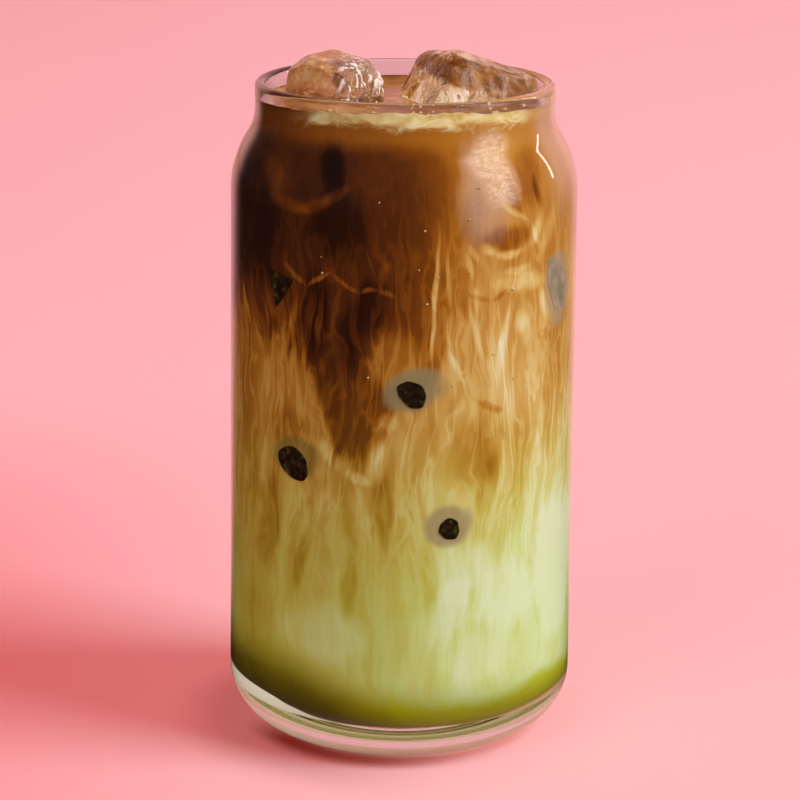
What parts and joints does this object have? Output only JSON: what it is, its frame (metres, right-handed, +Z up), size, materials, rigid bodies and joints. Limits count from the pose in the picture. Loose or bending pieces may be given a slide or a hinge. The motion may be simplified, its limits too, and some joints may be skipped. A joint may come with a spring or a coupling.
{
  "type": "glass of iced milk coffee",
  "caption": "Can-shaped drinking glass filled with coffee, milk and green tea in layers, with floating ice.",
  "frame": {"origin": "middle of the foot, at the level of the surface that the glass stands on", "axes": "+Z up along the glass's axis, -Y towards the side where the coffee hangs lowest, +X to that side's right"},
  "size_m": [0.076, 0.076, 0.151],
  "materials": {
    "clear_glass": "clear, fire-polished",
    "coffee": "still liquid, dark",
    "milk": "still liquid, milky",
    "green_tea": "still liquid, cloudy",
    "ice": "clear, wet"
  },
  "bodies": {
    "root": {"glass": "clear_glass", "coffee_layer": "coffee", "milk_layer": "milk", "green_tea_layer": "green_tea", "ice_left": "ice", "ice_right": "ice"}
  },
  "joints": []
}
